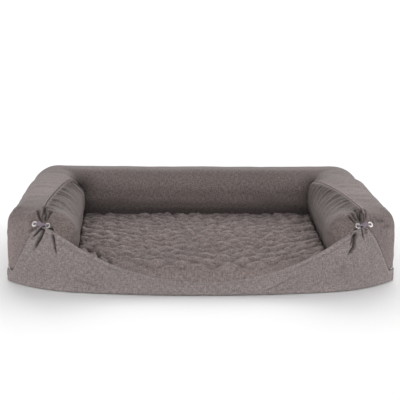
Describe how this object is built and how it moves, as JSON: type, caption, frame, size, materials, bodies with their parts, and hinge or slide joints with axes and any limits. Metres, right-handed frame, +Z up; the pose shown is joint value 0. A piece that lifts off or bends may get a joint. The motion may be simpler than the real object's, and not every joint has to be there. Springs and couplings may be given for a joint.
{
  "type": "dog bed",
  "caption": "Rectangular dog bed: quilted mattress in a U-shaped bolster, low swooping front, zip round the base, arm fronts gathered with laced eyelets.",
  "frame": {"origin": "on the floor under the middle of the bed", "axes": "+X along the bed's length to its right arm as seen from the open front, +Y to the back bolster, +Z up"},
  "size_m": [1.05, 0.8, 0.205],
  "materials": {
    "cover_cloth": "woven melange, taupe grey",
    "quilted_cloth": "diamond quilted weave",
    "base_cloth": "coated weave",
    "foam": "open-cell foam",
    "stuffing": "soft filling in a plain lining",
    "zip_tape": "woven tape",
    "zip_teeth": "nylon coil",
    "zip_metal": "dark nickel",
    "nickel": "bright nickel",
    "lacing_cord": "braided cord"
  },
  "bodies": {
    "bed": {"base_cloth": "base_cloth", "mattress_foam": "foam", "quilted_top": "quilted_cloth", "front_panel": "cover_cloth", "back_bolster_stuffing": "stuffing", "back_panel": "cover_cloth", "left_bolster_stuffing": "stuffing", "left_outer_panel": "cover_cloth", "left_inner_panel": "cover_cloth", "left_inner_eyelet": "nickel", "left_outer_eyelet": "nickel", "left_inner_washer": "nickel", "left_outer_washer": "nickel", "left_lacing": "lacing_cord", "right_bolster_stuffing": "stuffing", "right_outer_panel": "cover_cloth", "right_inner_panel": "cover_cloth", "right_inner_eyelet": "nickel", "right_outer_eyelet": "nickel", "right_inner_washer": "nickel", "right_outer_washer": "nickel", "right_lacing": "lacing_cord", "zip_tape_lower": "zip_tape", "zip_tape_upper": "zip_tape", "zip_teeth_lower": "zip_teeth", "zip_teeth_upper": "zip_teeth", "zip_end_stops": "zip_metal"},
    "left_slider": {"left_zip_slider": "zip_metal"},
    "left_pull": {"left_zip_pull": "zip_metal"},
    "right_slider": {"right_zip_slider": "zip_metal"},
    "right_pull": {"right_zip_pull": "zip_metal"}
  },
  "joints": [
    {"name": "left_slider_travel", "type": "slide", "parent": "bed", "child": "left_slider", "axis": [0, 1, 0], "range_m": [0, 0.515]},
    {"name": "left_pull_swing", "type": "hinge", "parent": "left_slider", "child": "left_pull", "pos_m": [-0.5227, -0.2237, 0.03], "axis": [0, 0, 1], "range_deg": [0, 180]},
    {"name": "right_slider_travel", "type": "slide", "parent": "bed", "child": "right_slider", "axis": [0, 1, 0], "range_m": [0, 0.515]},
    {"name": "right_pull_swing", "type": "hinge", "parent": "right_slider", "child": "right_pull", "pos_m": [0.5227, -0.2237, 0.03], "axis": [0, 0, -1], "range_deg": [0, 180]}
  ]
}
